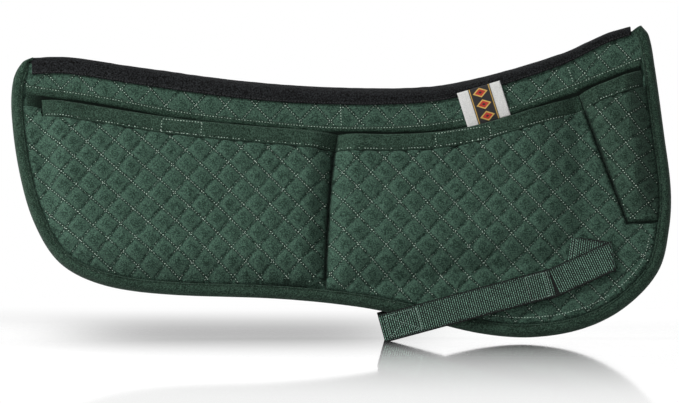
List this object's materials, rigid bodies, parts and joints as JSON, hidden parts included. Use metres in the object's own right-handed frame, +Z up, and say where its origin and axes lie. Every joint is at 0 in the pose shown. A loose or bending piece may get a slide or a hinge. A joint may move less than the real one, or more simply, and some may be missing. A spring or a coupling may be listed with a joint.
{
  "type": "memory foam half pad",
  "caption": "Quilted half pad for under a saddle: two contoured sides folded at a taped spine, pockets with removable foam inserts, bound edge and billet straps.",
  "frame": {"origin": "on the underside of the spine at its dip, in the middle plane, where the pad lies on the horse's back", "axes": "+X towards the withers (front) along the pad, +Y to the horse's left, +Z up"},
  "size_m": [0.5748, 0.1524, 0.2768],
  "materials": {
    "quilted_cloth": "diamond-quilted cotton twill, dark hunter green, pale thread",
    "plain_cloth": "plain cotton twill, dark hunter green, edge-stitched",
    "lining_cloth": "quilted cotton lining, dark green",
    "wadding": "white fibre wadding",
    "memory_foam": "cream open-cell memory foam",
    "black_tape": "coarse black woven tape",
    "webbing": "ribbed green webbing",
    "hook_and_loop": "dark green hook and loop tape",
    "woven_label": "satin woven label, black centre, white ends, plain shapes"
  },
  "bodies": {
    "right_side": {"spine_tape": "black_tape", "spine_seam_tape": "plain_cloth", "woven_label": "woven_label", "right_lining": "lining_cloth", "right_base_wadding": "wadding", "right_base_cover": "quilted_cloth", "right_facing_band": "plain_cloth", "right_edge_binding": "plain_cloth", "right_rear_pocket_panel": "quilted_cloth", "right_middle_pocket_panel": "quilted_cloth", "right_front_pocket_panel": "quilted_cloth", "right_rear_pocket_hem": "plain_cloth", "right_middle_pocket_hem": "plain_cloth", "right_front_pocket_hem": "plain_cloth", "right_rear_loop_tape": "hook_and_loop", "right_rear_hook_tape": "hook_and_loop", "right_middle_loop_tape": "hook_and_loop", "right_middle_hook_tape": "hook_and_loop", "right_strap_anchor": "webbing"},
    "left_side": {"left_lining": "lining_cloth", "left_base_wadding": "wadding", "left_base_cover": "quilted_cloth", "left_facing_band": "plain_cloth", "left_edge_binding": "plain_cloth", "left_rear_pocket_panel": "quilted_cloth", "left_middle_pocket_panel": "quilted_cloth", "left_front_pocket_panel": "quilted_cloth", "left_rear_pocket_hem": "plain_cloth", "left_middle_pocket_hem": "plain_cloth", "left_front_pocket_hem": "plain_cloth", "left_rear_loop_tape": "hook_and_loop", "left_rear_hook_tape": "hook_and_loop", "left_middle_loop_tape": "hook_and_loop", "left_middle_hook_tape": "hook_and_loop", "left_strap_anchor": "webbing"},
    "right_rear_insert": {"right_rear_foam_insert": "memory_foam"},
    "right_middle_insert": {"right_middle_foam_insert": "memory_foam"},
    "right_front_insert": {"right_front_foam_insert": "memory_foam"},
    "left_rear_insert": {"left_rear_foam_insert": "memory_foam"},
    "left_middle_insert": {"left_middle_foam_insert": "memory_foam"},
    "left_front_insert": {"left_front_foam_insert": "memory_foam"},
    "right_strap": {"right_strap_lead": "webbing", "right_strap_arm": "webbing", "right_strap_hook_patch": "hook_and_loop", "right_strap_loop_patch": "hook_and_loop"},
    "left_strap": {"left_strap_lead": "webbing", "left_strap_arm": "webbing", "left_strap_hook_patch": "hook_and_loop", "left_strap_loop_patch": "hook_and_loop"}
  },
  "joints": [
    {"name": "spine_fold", "type": "hinge", "parent": "right_side", "child": "left_side", "pos_m": [0, 0, 0.05], "axis": [-0.9986, 0, -0.0523], "range_deg": [-66, 24], "deforming": ["spine_tape", "spine_seam_tape"]},
    {"name": "right_rear_insert_slide", "type": "slide", "parent": "right_side", "child": "right_rear_insert", "axis": [-0.0512, 0.2079, 0.9768], "range_m": [0, 0.15]},
    {"name": "right_middle_insert_slide", "type": "slide", "parent": "right_side", "child": "right_middle_insert", "axis": [-0.0512, 0.2079, 0.9768], "range_m": [0, 0.15]},
    {"name": "right_front_insert_slide", "type": "slide", "parent": "right_side", "child": "right_front_insert", "axis": [-0.2255, 0.2047, 0.9525], "range_m": [0, 0.12]},
    {"name": "left_rear_insert_slide", "type": "slide", "parent": "left_side", "child": "left_rear_insert", "axis": [-0.0512, -0.2079, 0.9768], "range_m": [0, 0.15]},
    {"name": "left_middle_insert_slide", "type": "slide", "parent": "left_side", "child": "left_middle_insert", "axis": [-0.0512, -0.2079, 0.9768], "range_m": [0, 0.15]},
    {"name": "left_front_insert_slide", "type": "slide", "parent": "left_side", "child": "left_front_insert", "axis": [-0.2255, -0.2047, 0.9525], "range_m": [0, 0.12]},
    {"name": "right_strap_swing", "type": "hinge", "parent": "right_side", "child": "right_strap", "pos_m": [0.193, -0.05899, -0.1417], "axis": [-0.138, 0.2071, 0.9685], "range_deg": [0, 150]},
    {"name": "left_strap_swing", "type": "hinge", "parent": "left_side", "child": "left_strap", "pos_m": [0.193, 0.05899, -0.1417], "axis": [0.138, 0.2071, -0.9685], "range_deg": [0, 150]}
  ]
}
